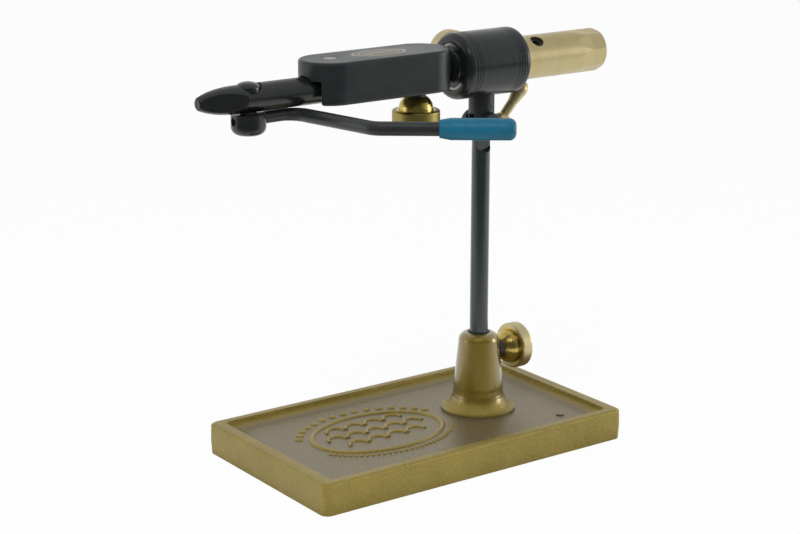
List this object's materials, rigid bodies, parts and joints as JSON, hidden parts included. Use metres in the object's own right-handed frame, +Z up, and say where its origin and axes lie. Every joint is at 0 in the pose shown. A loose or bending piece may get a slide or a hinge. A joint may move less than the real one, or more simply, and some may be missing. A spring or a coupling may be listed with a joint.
{
  "type": "fly tying vise",
  "caption": "Rotary fly tying vise on a cast pedestal base, with a tilting head, lever-opened split jaws, brass thumb knobs and a fluted rotary handle",
  "frame": {"origin": "centre of the base underside, on the surface the vise stands on", "axes": "+X along the base towards the rotary handle, jaws towards -X, +Y away from the squeeze lever, +Z up"},
  "size_m": [0.2404, 0.1457, 0.2132],
  "materials": {
    "base_bronze": "bronze-gold paint over sand-cast iron, fine sandy texture",
    "stem_steel": "turned steel rod with a smooth dark blued finish",
    "black_metal": "satin black coating on machined metal",
    "black_hardware": "black oxide screws, studs and collars",
    "brass": "turned and polished brass",
    "handle_brass": "fine brushed pale brass",
    "jaw_steel": "hardened tool steel with a glossy black oxide finish",
    "bearing_steel": "ground bearing steel",
    "bearing_shield": "black sealed shields",
    "seal_rubber": "black rubber ring",
    "lever_steel": "dark satin steel rod",
    "grip_vinyl": "dipped blue vinyl sleeve",
    "nylon": "white nylon friction tip",
    "spring_steel": "spring wire"
  },
  "bodies": {
    "base": {"base_casting": "base_bronze"},
    "base_knob": {"base_knob": "brass", "base_knob_stud": "black_hardware"},
    "stem_ring": {"stem_ring": "seal_rubber"},
    "stem": {"stem": "stem_steel"},
    "frame": {"neck": "black_metal", "pivot_bolt": "black_hardware", "pivot_nut": "black_hardware", "neck_pin": "bearing_steel", "clamp_boss": "black_hardware", "rotary_housing": "black_metal", "front_outer_race": "bearing_steel", "front_shields": "bearing_shield", "rear_outer_race": "bearing_steel", "rear_shields": "bearing_shield"},
    "clamp_lever": {"clamp_lever": "brass"},
    "drag_knob": {"drag_knob": "brass", "drag_knob_stud": "black_hardware", "drag_tip": "nylon"},
    "front_balls": {"front_balls": "bearing_steel"},
    "rear_balls": {"rear_balls": "bearing_steel"},
    "rotor": {"spindle": "black_metal", "rotary_handle": "handle_brass", "handle_screw": "black_hardware", "front_inner_race": "bearing_steel", "rear_inner_race": "bearing_steel", "head_case": "black_metal", "jaw_pin": "bearing_steel", "jaw_clip": "spring_steel", "jaw_spring": "spring_steel"},
    "head_knob": {"head_knob": "brass", "head_knob_stud": "black_hardware"},
    "lever": {"cam_pin": "jaw_steel", "cam_hub": "jaw_steel", "hub_screw": "black_hardware", "lever_rod": "lever_steel", "lever_grip": "grip_vinyl"},
    "jaw_near": {"jaw_near": "jaw_steel"},
    "jaw_far": {"jaw_far": "jaw_steel"}
  },
  "joints": [
    {"name": "base_knob_turn", "type": "hinge", "parent": "base", "child": "base_knob", "pos_m": [0.058, 0, 0.0427], "axis": [1, 0, 0], "range_deg": [-180, 180]},
    {"name": "stem_swivel", "type": "hinge", "parent": "base", "child": "stem_ring", "pos_m": [0.0397, 0, 0.054], "axis": [0, 0, 1], "continuous": true},
    {"name": "stem_height", "type": "slide", "parent": "stem_ring", "child": "stem", "axis": [0, 0, 1], "range_m": [0, 0.025]},
    {"name": "head_tilt", "type": "hinge", "parent": "stem", "child": "frame", "pos_m": [0.0397, 0, 0.165], "axis": [0, 1, 0], "range_deg": [-20, 30]},
    {"name": "clamp_lever_turn", "type": "hinge", "parent": "frame", "child": "clamp_lever", "pos_m": [0.0528, 0, 0.165], "axis": [1, 0, 0], "range_deg": [-40, 40]},
    {"name": "drag_knob_turn", "type": "hinge", "parent": "frame", "child": "drag_knob", "pos_m": [0.0422, 0.026, 0.1972], "axis": [0, 1, 0], "range_deg": [-180, 180]},
    {"name": "rotary_spin", "type": "hinge", "parent": "frame", "child": "rotor", "pos_m": [0.0397, 0, 0.1964], "axis": [1, 0, 0], "continuous": true},
    {"name": "front_ball_orbit", "type": "hinge", "parent": "frame", "child": "front_balls", "pos_m": [0.0231, 0, 0.1964], "axis": [1, 0, 0], "continuous": true},
    {"name": "rear_ball_orbit", "type": "hinge", "parent": "frame", "child": "rear_balls", "pos_m": [0.0556, 0, 0.1964], "axis": [1, 0, 0], "continuous": true},
    {"name": "head_knob_turn", "type": "hinge", "parent": "rotor", "child": "head_knob", "pos_m": [-0.0014, 0, 0.178], "axis": [0, 0, 1], "range_deg": [-180, 180]},
    {"name": "lever_squeeze", "type": "hinge", "parent": "rotor", "child": "lever", "pos_m": [-0.0984, 0, 0.183], "axis": [0, 0, 1], "range_deg": [0, 20], "stiffness_Nm_per_rad": 2, "springref_deg": -5.73},
    {"name": "jaw_near_open", "type": "hinge", "parent": "rotor", "child": "jaw_near", "pos_m": [-0.0525, 0, 0.1935], "axis": [0, 0, 1], "range_deg": [0, 1.3]},
    {"name": "jaw_far_open", "type": "hinge", "parent": "rotor", "child": "jaw_far", "pos_m": [-0.0525, 0, 0.1935], "axis": [0, 0, 1], "range_deg": [-1.3, 0]}
  ],
  "couplings": [
    {"joint": "front_ball_orbit", "follows": "rotary_spin", "ratio": 0.425},
    {"joint": "rear_ball_orbit", "follows": "rotary_spin", "ratio": 0.425},
    {"joint": "jaw_near_open", "follows": "lever_squeeze", "ratio": 0.063},
    {"joint": "jaw_far_open", "follows": "lever_squeeze", "ratio": -0.063}
  ]
}
